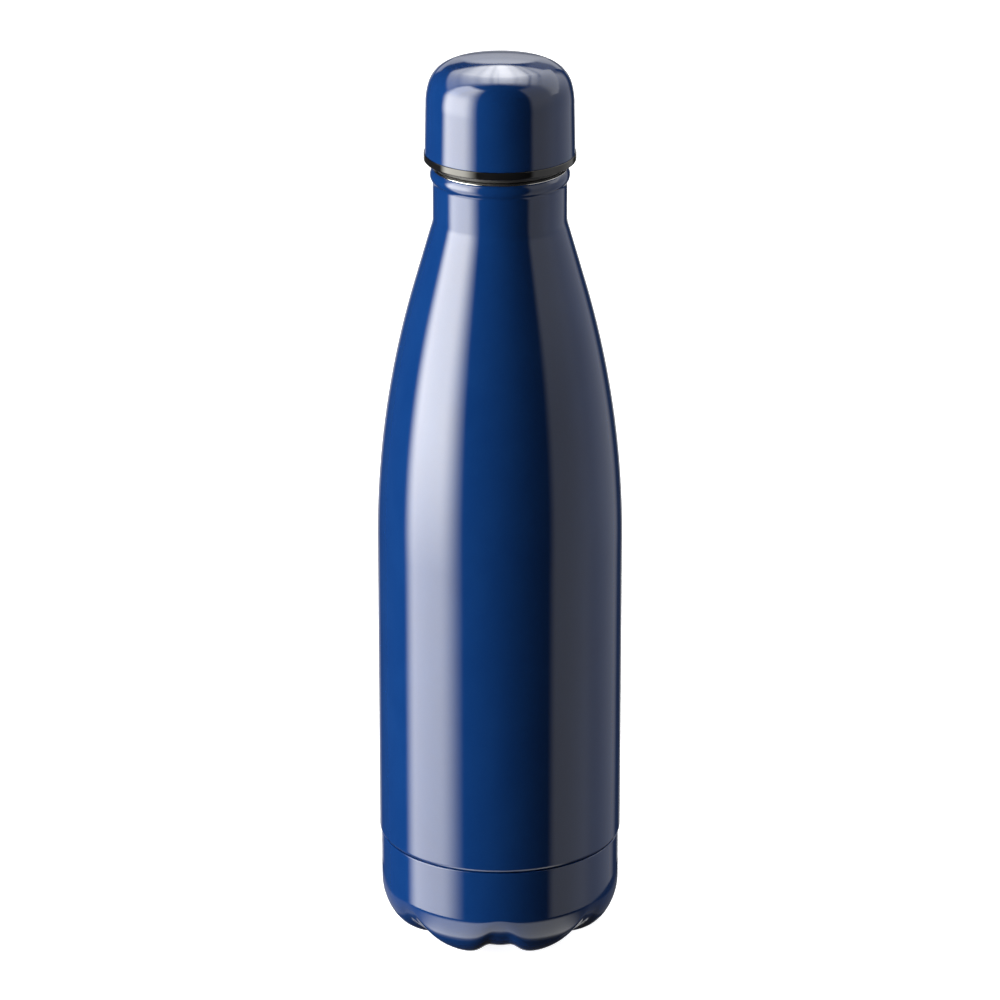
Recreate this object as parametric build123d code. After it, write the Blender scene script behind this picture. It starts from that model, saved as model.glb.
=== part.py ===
"""Double-wall steel drinks bottle with a screw cap, 70 mm across and 264 mm tall.

Millimetres, +Z up. The origin is the centre of the circle that the seven feet stand on.
-Y is the front, where one valley of the lobed base faces.
"""
import math
import os

from build123d import *

# ---------------------------------------------------------------- driving dimensions
TOTAL_HEIGHT = 264.0

# outer steel body
BODY_RADIUS = 35.0
SHEET = 0.5                  # outer shell, base cup and cap dome
SEAM_Z = 32.4                # line between the body and the base cup
EDGE_ROLL = 1.2              # radius of the body's lower edge
SEAM_GAP = 0.3               # open groove between the body's edge and the cup
SPIGOT_RADIUS = 33.75        # reduced end of the shell that the base cup slides on
SPIGOT_BOTTOM_Z = 23.0
SHOULDER_Z = 122.5           # the straight wall ends here
SHOULDER_ARC = 275.0
SHOULDER_ANGLE = 16.15       # degrees, slope at which the arc runs on as a cone
NECK_RADIUS = 18.85
NECK_BLEND = 8.0
BEAD_ARC = 2.6               # rolled lip
BEAD_REACH = 0.75            # how far the lip stands out from the neck
BEAD_Z = 230.8               # widest point of the lip
BEAD_FILLET = 2.0            # concave round between the neck and the lip

# inner steel flask
LINER_SHEET = 0.4
LINER_RADIUS = 31.4          # outside, along the straight wall
LINER_NECK_RADIUS = 17.5     # outside, at the neck
LINER_BOTTOM_Z = 27.0
PLATE_FLANGE = 4.0           # height of the flange on both bottom plates
INNER_PLATE_DISH = 2.0
OUTER_PLATE_Z = 23.6
HOLE_RADIUS = 1.0            # evacuation hole
DIMPLE_RADIUS = 7.0
DIMPLE_DEPTH = 1.2
FOIL = 0.15

# getter, held in the vacuum on the outer bottom plate
GETTER_OFFSET = 18.0
PILL_RADIUS = 4.0
PILL_HEIGHT = 1.8
HOLDER_SHEET = 0.3

# lobed base cup
CUP_RADIUS = 34.5
LOBES = 7
LOBE_TOP_Z = 17.6            # the lobes fade into the straight wall here
FOOT_RADIUS = 13.4           # circle of the feet
FOOT_TRIM = 0.15             # depth ground flat on each foot
HUB_RADIUS = 3.0             # small flat disc in the middle
HUB_Z = 1.1
VALLEY_WIDTH = 5.0           # from a valley's middle to where a third of its depth is left
RIM_BREAK = 0.3              # broken edge at the cup's rim
GLUE_Z = (25.0, 30.5)
GLUE_GAP = 0.02

# thread between the neck and the stopper: right-hand, one start
LEAD = 4.0
NECK_BORE = LINER_NECK_RADIUS - LINER_SHEET
NECK_RIDGE_RADIUS = 16.2
NECK_RIDGE_WIDTH = (1.7, 0.6)        # along the axis, at its root and at its crest
NECK_THREAD_Z = 221.5
NECK_TURNS = 1.75
STEM_RADIUS = 15.7
STEM_RIDGE_RADIUS = 16.75
STEM_RIDGE_WIDTH = (1.8, 0.7)
STEM_TURNS = 1.75
THREAD_STEP = 1.55                   # the stem's ridge sits this far under the neck's
RIDGE_ROOT = 0.25                    # how deep each ridge is sunk into its wall

# cap
CROWN_ARC = 66.0
CROWN_ANGLE = 12.1
CAP_CORNER_ARC = 8.2
CAP_CORNER_ANGLE = 73.9
CAP_SIDE_ARC = 19.45
CAP_DRAFT = 1.16
CAP_EDGE_Z = 237.2           # lower edge of the steel dome
RING_RADIUS = 21.35          # black ring under the dome
RING_BOTTOM_Z = 235.0
LINER_PLATE_Z = 235.4        # underside of the cap liner's plate
LINER_WALL = (19.2, 20.3)
LINER_WALL_TOP_Z = 248.0
STOPPER_FLANGE = (18.8, 1.6)
STOPPER_WALL = 1.6
STOPPER_BOTTOM_Z = 213.0
COVER_DISC = 1.5
COVER_PLUG = 2.0
FOAM_TOP_Z = 250.0
HOLE_PLAY = 0.2              # round the stem, where it passes the liner's plate
RECESS_RADIUS = 18.8         # seat for the gasket in the liner's underside
RING_ROUND = 0.5
CAP_GLUE_Z = (240.0, 246.0)
FIT_GAP = 0.05
GASKET_RADII = (16.1, 18.4)
GASKET_ROUND = 0.4

LIP_CENTRE_RADIUS = NECK_RADIUS + BEAD_REACH - BEAD_ARC


def point(r, z):
    """A point of a turned outline."""
    return Vector(r, 0, z)


def on_arc(centre, radius, degrees):
    """The point of an arc at an angle above the horizontal."""
    angle = math.radians(degrees)
    return centre + Vector(radius * math.cos(angle), 0, radius * math.sin(angle))


def arc(centre, radius, start, end):
    """Arc in the outline's plane, between two angles above the horizontal."""
    middle = on_arc(centre, radius, (start + end) / 2)
    return ThreePointArc(on_arc(centre, radius, start), middle, on_arc(centre, radius, end))


def turned(*lines):
    """Solid turned round the axis from lines that close an outline on or beside it."""
    edges = [edge for line in lines for edge in line.edges()]
    return revolve(make_face(edges), Axis.Z)


def ring(inner, outer, bottom, top):
    """Plain ring or disc of rectangular section."""
    outline = Polyline(point(inner, bottom), point(outer, bottom), point(outer, top), point(inner, top), close=True)
    return turned(outline)


# ---------------------------------------------------------------- steel body
def flask(body_radius, neck_radius, blend, bottom_z, top_lines):
    """Solid flask: straight wall, long shoulder arc, cone, blend and neck, then the given top."""
    centre = point(BODY_RADIUS - SHOULDER_ARC, SHOULDER_Z)
    radius = SHOULDER_ARC - (BODY_RADIUS - body_radius)
    cone_foot = on_arc(centre, radius, SHOULDER_ANGLE)
    slope = math.tan(math.radians(SHOULDER_ANGLE))
    neck_foot = point(neck_radius, cone_foot.Z + (cone_foot.X - neck_radius) / slope)
    set_back = blend * math.tan(math.radians(SHOULDER_ANGLE / 2))
    along_cone = (neck_foot - cone_foot).normalized()
    blend_start = neck_foot - along_cone * set_back
    blend_end = neck_foot + Vector(0, 0, set_back)
    lines = [
        Line(point(0, bottom_z), point(body_radius, bottom_z)),
        Line(point(body_radius, bottom_z), point(body_radius, SHOULDER_Z)),
        arc(centre, radius, 0, SHOULDER_ANGLE),
        Line(cone_foot, blend_start),
        TangentArc(blend_start, blend_end, tangent=along_cone),
    ]
    lines.append(Line(blend_end, top_lines[0] @ 0))
    lines.extend(top_lines)
    lines.append(Line(top_lines[-1] @ 1, point(0, bottom_z)))
    return turned(*lines)


def lip(inset):
    """Concave fillet, rolled bead and flat top of the outer shell, inset from its outside."""
    bead_centre = point(LIP_CENTRE_RADIUS, BEAD_Z)
    across = NECK_RADIUS + BEAD_FILLET - LIP_CENTRE_RADIUS
    lean = math.degrees(math.acos(across / (BEAD_ARC + BEAD_FILLET)))
    fillet_centre = on_arc(bead_centre, BEAD_ARC + BEAD_FILLET, -lean)
    crest = on_arc(bead_centre, BEAD_ARC - inset, 90)
    return [
        arc(fillet_centre, BEAD_FILLET + inset, 180, 180 - lean),
        arc(bead_centre, BEAD_ARC - inset, -lean, 90),
        Line(crest, point(0, crest.Z)),
    ]


def shell_solid(inset):
    """The outer body's full shape at one side of its sheet, with the rolled lower edge and the spigot."""
    roll_z = SEAM_Z + EDGE_ROLL + SEAM_GAP
    body = flask(BODY_RADIUS - inset, NECK_RADIUS - inset, NECK_BLEND + inset, roll_z, lip(inset))
    centre = point(BODY_RADIUS - EDGE_ROLL, roll_z)
    radius = EDGE_ROLL - inset
    spigot = SPIGOT_RADIUS - inset
    end = -math.degrees(math.acos((spigot - centre.X) / radius))
    roll = turned(
        arc(centre, radius, 0, end),
        Polyline(on_arc(centre, radius, end), point(spigot, SPIGOT_BOTTOM_Z), point(0, SPIGOT_BOTTOM_Z),
                 point(0, roll_z), on_arc(centre, radius, 0)),
    )
    return body + roll


def lip_z(r):
    """Height of the rolled lip's upper side at a radius."""
    return BEAD_Z + math.sqrt(BEAD_ARC ** 2 - (r - LIP_CENTRE_RADIUS) ** 2)


def make_outer_shell():
    mouth = ring(0, LINER_NECK_RADIUS, BEAD_Z - BEAD_ARC, BEAD_Z + 2 * BEAD_ARC)
    return shell_solid(0) - shell_solid(SHEET) - mouth


def liner_solid(inset):
    """The inner flask at one side of its sheet, up to the plane of the lip."""
    body = LINER_RADIUS - inset
    neck = LINER_NECK_RADIUS - inset
    top_z = lip_z(LINER_NECK_RADIUS)
    top = [Line(point(neck, top_z), point(0, top_z))]
    return flask(body, neck, NECK_BLEND, LINER_BOTTOM_Z, top)


def ridge(root, crest, widths, turns, start_z):
    """Helical rib of trapezoid section from its root radius to its crest radius."""
    path = Helix(pitch=LEAD, height=LEAD * turns, radius=root)
    sink = RIDGE_ROOT if root > crest else -RIDGE_ROOT
    half_root, half_crest = widths[0] / 2, widths[1] / 2
    section = Plane.XZ * Polyline(
        (root + sink, -half_root), (root + sink, half_root), (crest, half_crest), (crest, -half_crest), close=True)
    rib = sweep(make_face(section), path=path, is_frenet=True)
    return Pos(0, 0, start_z) * rib


def make_inner_liner():
    wall = liner_solid(0) - liner_solid(LINER_SHEET)
    rib = ridge(NECK_BORE, NECK_RIDGE_RADIUS, NECK_RIDGE_WIDTH, NECK_TURNS, NECK_THREAD_Z)
    return wall + rib


def crowned_plug(radius, rim_z):
    """Solid plug with a crowned top, from the flask's lower end upwards."""
    sphere = (radius ** 2 + INNER_PLATE_DISH ** 2) / (2 * INNER_PLATE_DISH)
    crown_z = rim_z + INNER_PLATE_DISH
    rim_angle = math.degrees(math.acos(radius / sphere))
    return turned(
        Polyline(point(0, crown_z), point(0, LINER_BOTTOM_Z), point(radius, LINER_BOTTOM_Z), point(radius, rim_z)),
        arc(point(0, crown_z - sphere), sphere, rim_angle, 90),
    )


def make_inner_bottom():
    """Plate inside the flask's lower end: flange down, crowned towards the drink."""
    bore = LINER_RADIUS - LINER_SHEET
    rim_z = LINER_BOTTOM_Z + PLATE_FLANGE
    return crowned_plug(bore, rim_z) - crowned_plug(bore - LINER_SHEET, rim_z - LINER_SHEET)


def make_outer_bottom():
    """Plate inside the spigot: flange up, with the dimple and hole used to draw the vacuum."""
    rim = SPIGOT_RADIUS - SHEET
    top = OUTER_PLATE_Z + SHEET
    dimple_z = OUTER_PLATE_Z + DIMPLE_DEPTH
    outline = Polyline(
        point(HOLE_RADIUS, dimple_z), point(DIMPLE_RADIUS - DIMPLE_DEPTH, dimple_z),
        point(DIMPLE_RADIUS, OUTER_PLATE_Z), point(rim, OUTER_PLATE_Z),
        point(rim, OUTER_PLATE_Z + PLATE_FLANGE), point(rim - SHEET, OUTER_PLATE_Z + PLATE_FLANGE),
        point(rim - SHEET, top), point(DIMPLE_RADIUS, top),
        point(DIMPLE_RADIUS - DIMPLE_DEPTH, dimple_z + SHEET), point(HOLE_RADIUS, dimple_z + SHEET), close=True)
    return turned(outline)


def make_vacuum_seal():
    """Bead of glass solder in and under the evacuation hole."""
    dimple_z = OUTER_PLATE_Z + DIMPLE_DEPTH
    stem = ring(0, HOLE_RADIUS, dimple_z, dimple_z + SHEET)
    bead = ring(0, HOLE_RADIUS * 2.5, dimple_z - DIMPLE_DEPTH / 2, dimple_z)
    return stem + fillet(bead.edges().group_by(Axis.Z)[0], DIMPLE_DEPTH / 3)


def make_reflective_foil():
    wall = ring(LINER_RADIUS, LINER_RADIUS + FOIL, LINER_BOTTOM_Z + PLATE_FLANGE, SHOULDER_Z - 5)
    return wall


def getter_place():
    return Pos(GETTER_OFFSET, 0, OUTER_PLATE_Z + SHEET)


def make_getter_pill():
    return getter_place() * ring(0, PILL_RADIUS, HOLDER_SHEET, HOLDER_SHEET + PILL_HEIGHT)


def make_getter_holder():
    """Small pressed cup with three fingers that stands on the plate and grips the pill."""
    cup = ring(0, PILL_RADIUS + HOLDER_SHEET, 0, HOLDER_SHEET + PILL_HEIGHT)
    cup -= ring(0, PILL_RADIUS, HOLDER_SHEET, HOLDER_SHEET + PILL_HEIGHT)
    slot = Box(PILL_RADIUS * 4, PILL_RADIUS, PILL_HEIGHT, align=(Align.MIN, Align.CENTER, Align.MIN))
    for step in range(3):
        cup -= Pos(0, 0, HOLDER_SHEET) * Rot(0, 0, 120 * step) * slot
    return getter_place() * cup


# ---------------------------------------------------------------- base cup
def bezier(t, *controls):
    """Point (r, z) of a cubic Bezier curve."""
    weights = ((1 - t) ** 3, 3 * t * (1 - t) ** 2, 3 * t * t * (1 - t), t ** 3)
    return tuple(sum(w * c[axis] for w, c in zip(weights, controls)) for axis in (0, 1))


LOBE_CURVE = ((CUP_RADIUS, LOBE_TOP_Z), (CUP_RADIUS, 7.1), (25.0, 0.3), (FOOT_RADIUS, -FOOT_TRIM))
INSTEP_CURVE = ((FOOT_RADIUS, -FOOT_TRIM), (9.1, -FOOT_TRIM), (9.0, HUB_Z), (HUB_RADIUS, HUB_Z))
VALLEY_CURVE = ((CUP_RADIUS, LOBE_TOP_Z), (CUP_RADIUS, 15.3), (30.0, 0.66), (HUB_RADIUS, HUB_Z))
LOBE_SHARE = 0.58            # share of a lobe's outline that lies outside its foot
HALF_LOBE = 180 / LOBES
LOBE_ANGLES = [HALF_LOBE * (2 * turn + 1) - 90 for turn in range(LOBES)]      # a valley faces the front
FOOT_PATCH = (16.0, 10.0)    # along the radius and across, holds one foot's flat
PROFILE_STEPS = 40
SECTOR_STEPS = 24
NORMAL_STEP = 0.002
FLAT = 0.001


def valley_share(r, degrees):
    """How much of the valley's outline is in the surface: 0 on a lobe's middle, 1 on a valley's middle."""
    reach = 2 * r / LOBES / VALLEY_WIDTH
    across = math.cos(math.radians(LOBES * degrees / 2))
    least = math.exp(-reach ** 2)
    return (math.exp(-(reach * across) ** 2) - least) / (1 - least)


def cup_point(share, degrees):
    """Outside of the lobed bottom, from the wall (share 0) to the hub (share 1), a lobe at 0 degrees."""
    if share < LOBE_SHARE:
        lobe = bezier(share / LOBE_SHARE, *LOBE_CURVE)
    else:
        lobe = bezier((share - LOBE_SHARE) / (1 - LOBE_SHARE), *INSTEP_CURVE)
    valley = bezier(share, *VALLEY_CURVE)
    blend = valley_share(lobe[0], degrees)
    r, z = (a + (b - a) * blend for a, b in zip(lobe, valley))
    angle = math.radians(degrees)
    return Vector(r * math.cos(angle), r * math.sin(angle), z)


def inset_point(share, degrees, inset):
    """The outside moved inwards along its normal: level at the wall, upright at the hub."""
    here = cup_point(share, degrees)
    if share == 0:
        return here - Vector(here.X, here.Y, 0).normalized() * inset
    if share == 1:
        return here + Vector(0, 0, inset)
    down = cup_point(share + NORMAL_STEP, degrees) - cup_point(share - NORMAL_STEP, degrees)
    across = cup_point(share, degrees + 1) - cup_point(share, degrees - 1)
    return here - down.cross(across).normalized() * inset


def level_edges(faces, z):
    return [edge for edge in faces.edges() if abs(edge.center().Z - z) < FLAT and
            abs((edge @ 0).Z - z) < FLAT and abs((edge @ 1).Z - z) < FLAT]


def cup_skin(inset):
    """One side of the cup's sheet: the faces of its like sectors, walls and hub, and the wire of its rim."""
    grid = []
    for column in range(SECTOR_STEPS + 1):
        degrees = HALF_LOBE * (2 * column / SECTOR_STEPS - 1)
        grid.append([inset_point(row / PROFILE_STEPS, degrees, inset) for row in range(PROFILE_STEPS + 1)])
    sector = Face.make_surface_from_array_of_points(grid, tol=1e-3, min_deg=3)
    rise = Vector(0, 0, SEAM_Z - LOBE_TOP_Z)
    wall = Face.extrude(level_edges(sector, LOBE_TOP_Z)[0], rise)
    faces = [face.rotate(Axis.Z, degrees) for degrees in LOBE_ANGLES for face in (sector, wall)]
    joined = Shell(faces)
    hub = Face(Wire(level_edges(joined, HUB_Z + inset)))
    return faces + [hub], Wire(level_edges(joined, SEAM_Z))


def make_base_cup():
    """Pressed sheet cup, each foot ground flat and its rim broken."""
    outside, outer_rim = cup_skin(0)
    inside, inner_rim = cup_skin(SHEET)
    cup = Solid(Shell(outside + inside + [Face(outer_rim, [inner_rim])]))
    ground_off = Box(*FOOT_PATCH, SHEET, align=(Align.CENTER, Align.CENTER, Align.MAX))
    for degrees in LOBE_ANGLES:
        cup -= Rot(0, 0, degrees) * Pos(FOOT_RADIUS, 0, 0) * ground_off
    corner = turned(Polyline(
        point(CUP_RADIUS - RIM_BREAK, SEAM_Z), point(CUP_RADIUS + RIM_BREAK, SEAM_Z - 2 * RIM_BREAK),
        point(CUP_RADIUS + RIM_BREAK, SEAM_Z), close=True))
    return cup - corner


def make_base_adhesive():
    return ring(SPIGOT_RADIUS, CUP_RADIUS - SHEET - GLUE_GAP, *GLUE_Z)


# ---------------------------------------------------------------- cap
def dome(inset):
    """Solid dome at one side of its sheet: crown arc, corner arc, side arc and drafted wall."""
    crown_centre = point(0, TOTAL_HEIGHT - CROWN_ARC)
    corner_centre = on_arc(crown_centre, CROWN_ARC - CAP_CORNER_ARC, 90 - CROWN_ANGLE)
    side_centre = on_arc(corner_centre, CAP_SIDE_ARC - CAP_CORNER_ARC, 270 - CAP_CORNER_ANGLE)
    wall_top = on_arc(side_centre, CAP_SIDE_ARC - inset, CAP_DRAFT)
    wall_foot = wall_top + Vector(math.tan(math.radians(CAP_DRAFT)), 0, -1) * (wall_top.Z - CAP_EDGE_Z)
    return turned(
        arc(crown_centre, CROWN_ARC - inset, 90, 90 - CROWN_ANGLE),
        arc(corner_centre, CAP_CORNER_ARC - inset, 90 - CROWN_ANGLE, 90 - CAP_CORNER_ANGLE),
        arc(side_centre, CAP_SIDE_ARC - inset, 90 - CAP_CORNER_ANGLE, CAP_DRAFT),
        Polyline(wall_top, wall_foot, point(0, CAP_EDGE_Z), point(0, TOTAL_HEIGHT - inset)),
    )


def make_cap_shell():
    return dome(0) - dome(SHEET)


def make_cap_liner():
    """Black body inside the dome: the visible ring, a plate over the neck and an inner wall."""
    visible = ring(STEM_RADIUS + HOLE_PLAY, RING_RADIUS, RING_BOTTOM_Z, CAP_EDGE_Z)
    visible = fillet(visible.edges().group_by(Axis.Z)[0].sort_by(SortBy.LENGTH)[-1], RING_ROUND)
    recess = ring(0, RECESS_RADIUS, RING_BOTTOM_Z, LINER_PLATE_Z)
    wall = ring(LINER_WALL[0], LINER_WALL[1], CAP_EDGE_Z, LINER_WALL_TOP_Z)
    return visible - recess + wall


def make_cap_adhesive():
    """Band that fills the gap between the liner's wall and the drafted dome."""
    low, high = CAP_GLUE_Z
    band = ring(LINER_WALL[1], RING_RADIUS, low, high)
    return band & dome(SHEET)


def make_threaded_stopper():
    """Hollow stem with the male thread, under a flange that is bonded to the liner's plate."""
    stem = ring(STEM_RADIUS - STOPPER_WALL, STEM_RADIUS, STOPPER_BOTTOM_Z, CAP_EDGE_Z)
    flange = ring(STEM_RADIUS - STOPPER_WALL, STOPPER_FLANGE[0], CAP_EDGE_Z, CAP_EDGE_Z + STOPPER_FLANGE[1])
    rib = ridge(STEM_RADIUS, STEM_RIDGE_RADIUS, STEM_RIDGE_WIDTH, STEM_TURNS, NECK_THREAD_Z - THREAD_STEP)
    return stem + flange + rib


def make_stopper_cover():
    """Disc on the stem's lower end, with a plug that locates it inside."""
    disc = ring(0, STEM_RADIUS, STOPPER_BOTTOM_Z - COVER_DISC, STOPPER_BOTTOM_Z)
    disc = fillet(disc.edges().group_by(Axis.Z)[0], COVER_DISC / 2)
    plug = ring(0, STEM_RADIUS - STOPPER_WALL, STOPPER_BOTTOM_Z, STOPPER_BOTTOM_Z + COVER_PLUG)
    return disc + plug


def make_stopper_foam():
    return ring(0, STEM_RADIUS - STOPPER_WALL - FIT_GAP, STOPPER_BOTTOM_Z + COVER_PLUG, FOAM_TOP_Z)


def make_gasket():
    """Soft ring between the lip and the liner's plate."""
    inner, outer = GASKET_RADII
    seal = ring(inner, outer, lip_z(LINER_NECK_RADIUS) + FIT_GAP, LINER_PLATE_Z)
    return fillet(seal.edges().group_by(Axis.Z)[0], GASKET_ROUND)


NODES = {
    "outer_shell": make_outer_shell,
    "inner_liner": make_inner_liner,
    "inner_bottom": make_inner_bottom,
    "outer_bottom": make_outer_bottom,
    "vacuum_seal": make_vacuum_seal,
    "reflective_foil": make_reflective_foil,
    "getter_holder": make_getter_holder,
    "getter_pill": make_getter_pill,
    "base_cup": make_base_cup,
    "base_adhesive": make_base_adhesive,
    "gasket": make_gasket,
    "cap_shell": make_cap_shell,
    "cap_liner": make_cap_liner,
    "cap_adhesive": make_cap_adhesive,
    "threaded_stopper": make_threaded_stopper,
    "stopper_foam": make_stopper_foam,
    "stopper_cover": make_stopper_cover,
}

os.makedirs("parts", exist_ok=True)
for name, make in NODES.items():
    piece = make()
    piece.label = name
    export_step(piece, f"parts/{name}.step")
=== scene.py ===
"""Looks for the steel drinks bottle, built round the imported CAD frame.

Outlines are written in millimetres in the (r, z) plane and turned round the bottle's axis, in metres.
Heights hang on the boxes of the CAD nodes, so a piece goes where the CAD says.
"""

import math

import bpy
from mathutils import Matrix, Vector


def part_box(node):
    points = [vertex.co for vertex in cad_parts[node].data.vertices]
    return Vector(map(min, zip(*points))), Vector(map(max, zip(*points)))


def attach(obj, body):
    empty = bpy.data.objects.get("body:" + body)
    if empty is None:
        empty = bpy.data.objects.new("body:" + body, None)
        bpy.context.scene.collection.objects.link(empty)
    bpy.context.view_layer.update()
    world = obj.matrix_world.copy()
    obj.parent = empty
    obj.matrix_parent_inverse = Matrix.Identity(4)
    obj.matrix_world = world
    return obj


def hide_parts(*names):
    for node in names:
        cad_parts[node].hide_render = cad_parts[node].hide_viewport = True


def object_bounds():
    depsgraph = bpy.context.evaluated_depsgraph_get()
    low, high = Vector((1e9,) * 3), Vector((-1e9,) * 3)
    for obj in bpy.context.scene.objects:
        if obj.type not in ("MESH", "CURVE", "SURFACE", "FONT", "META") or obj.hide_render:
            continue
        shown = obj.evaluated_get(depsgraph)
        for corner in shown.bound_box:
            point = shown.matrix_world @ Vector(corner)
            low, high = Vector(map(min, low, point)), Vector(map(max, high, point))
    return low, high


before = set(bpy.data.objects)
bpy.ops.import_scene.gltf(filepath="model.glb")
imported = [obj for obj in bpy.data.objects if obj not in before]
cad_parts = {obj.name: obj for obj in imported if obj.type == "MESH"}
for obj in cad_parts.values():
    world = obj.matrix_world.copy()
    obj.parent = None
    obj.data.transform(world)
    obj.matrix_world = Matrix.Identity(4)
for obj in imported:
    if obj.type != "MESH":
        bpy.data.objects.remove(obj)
CAD_BOUNDS = [list(corner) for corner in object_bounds()]

MM = 0.001
TINY = 1e-6
COLUMNS = 288                # round the axis, on every turned piece
SHARP_ANGLE = 35.0           # degrees, on the threaded pieces


def span_mm(node):
    """(radius, lowest z, highest z) of a turned CAD node, in mm."""
    low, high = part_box(node)
    return high.x / MM, low.z / MM, high.z / MM


# ---------------------------------------------------------------- dimensions, in mm
TOTAL_HEIGHT = CAD_BOUNDS[1][2] / MM
BODY_RADIUS = round(span_mm("outer_shell")[0], 2)
SHEET = 0.5
SEAM_Z = round(span_mm("base_cup")[2], 2)
EDGE_ROLL = 1.2
SEAM_GAP = 0.3
SPIGOT_RADIUS = 33.75
SPIGOT_BOTTOM_Z = round(span_mm("outer_shell")[1], 2)
SHOULDER_Z = 122.5
SHOULDER_ARC = 275.0
SHOULDER_ANGLE = 16.15
NECK_RADIUS = 18.85
NECK_BLEND = 8.0
BEAD_ARC = 2.6
BEAD_REACH = 0.75
BEAD_Z = 230.8
BEAD_FILLET = 2.0
LIP_CENTRE_RADIUS = NECK_RADIUS + BEAD_REACH - BEAD_ARC
PAINT_END = 45.0             # degrees above the horizontal on the lip, where the paint stops
PAINT_EDGE = 0.13            # radius of the steel's round edge beside the paint
STEEL_EDGE = (-45, 80)       # degrees above the horizontal that the round edge spans
EDGE_RUN = 6                 # degrees along the lip from that edge's centre to the plain lip

LINER_SHEET = 0.4
LINER_RADIUS = 31.4
LINER_NECK_RADIUS = 17.5
LINER_BOTTOM_Z = round(span_mm("inner_liner")[1], 2)
LEAD = 4.0
NECK_RIDGE_RADIUS = 16.2
NECK_RIDGE_WIDTH = 2.0       # along the axis, at its root
NECK_THREAD_Z = 221.5
STEM_RADIUS = 15.7
STEM_RIDGE_RADIUS = 16.75
STEM_RIDGE_WIDTH = 2.2
THREAD_TURNS = 1.75
THREAD_STEP = 1.55           # the stem's ridge starts this far under the neck's
THREAD_ROWS = 100            # rows of points along the threaded wall
THREAD_MARGIN = 1.2          # threaded wall beyond each end of the ridge
RUN_OUT = 0.12               # turns over which the ridge fades at each end
FLANK_SLOPE = 2.2            # how soon the ridge reaches its crest
MOUTH_BREAK = 0.1            # broken edge of the flask at the lip

CUP_RADIUS = 34.5
LOBES = 7
LOBE_TOP_Z = 17.6
FOOT_RADIUS = 13.4
FOOT_TRIM = 0.15             # depth cut flat on each foot
HUB_RADIUS = 3.0
HUB_Z = 1.1
VALLEY_WIDTH = 5.0           # from a valley's middle to where a third of its depth is left
RIM_BREAK = 0.3

CROWN_ARC = 66.0
CROWN_ANGLE = 12.1
CAP_CORNER_ARC = 8.2
CAP_CORNER_ANGLE = 73.9
CAP_SIDE_ARC = 19.45
CAP_DRAFT = 1.16
DOME_BREAK = 0.12            # broken lower edge of the dome
CAP_EDGE_Z = round(span_mm("cap_shell")[1], 2)
RING_RADIUS = round(span_mm("cap_liner")[0], 2)
RING_BOTTOM_Z = round(span_mm("cap_liner")[1], 2)
LINER_PLATE_Z = 235.4
LINER_WALL = (19.2, 20.3)
LINER_WALL_TOP_Z = round(span_mm("cap_liner")[2], 2)
RECESS_RADIUS = 18.8
RING_ROUND = 0.5             # lower outer edge of the ring
RING_BREAK = 0.15            # its other visible edges
HOLE_PLAY = 0.2
HOLE_BREAK = 0.1
WALL_BREAK = 0.2
STOPPER_WALL = 1.6
STOPPER_FLANGE = (18.8, 1.6)
STOPPER_BOTTOM_Z = 213.0
STOPPER_CHAMFER = 0.3
COVER_BOTTOM_Z = round(span_mm("stopper_cover")[1], 2)
COVER_TOP_Z = round(span_mm("stopper_cover")[2], 2)
COVER_ROUND = 0.75
GASKET_RADII = (16.1, 18.4)
GASKET_ROUND = 0.4
GASKET_Z = tuple(round(z, 3) for z in span_mm("gasket")[1:])
GASKET_BREAK = 0.15


def ramp(value, start, end):
    """Smooth 0 to 1 as value goes from start to end, either way round."""
    t = min(1.0, max(0.0, (value - start) / (end - start)))
    return t * t * (3 - 2 * t)


# ---------------------------------------------------------------- outlines and turned meshes
def on_arc(centre, radius, degrees):
    angle = math.radians(degrees)
    return centre[0] + radius * math.cos(angle), centre[1] + radius * math.sin(angle)


class Outline:
    """Outline in (r, z), drawn anticlockwise, of lines and arcs whose points carry exact normals."""

    def __init__(self, r, z):
        self.first = self.last = (r, z)
        self.spans = []

    def line(self, r, z, steps=1):
        r0, z0 = self.last
        length = math.hypot(r - r0, z - z0)
        if length > TINY:
            normal = ((z - z0) / length, (r0 - r) / length)
            self.spans.append([(r0 + (r - r0) * i / steps, z0 + (z - z0) * i / steps, *normal)
                               for i in range(steps + 1)])
            self.last = (r, z)
        return self

    def arc(self, centre, radius, start, end, steps):
        """Arc between two angles above the horizontal, after a line to its start."""
        self.line(*on_arc(centre, radius, start))
        turn = 1 if end > start else -1
        points = []
        for i in range(steps + 1):
            degrees = start + (end - start) * i / steps
            angle = math.radians(degrees)
            normal = (turn * math.cos(angle), turn * math.sin(angle))
            points.append((*on_arc(centre, radius, degrees), *normal))
        self.spans.append(points)
        self.last = points[-1][:2]
        return self

    def close(self):
        return self.line(*self.first)


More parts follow.
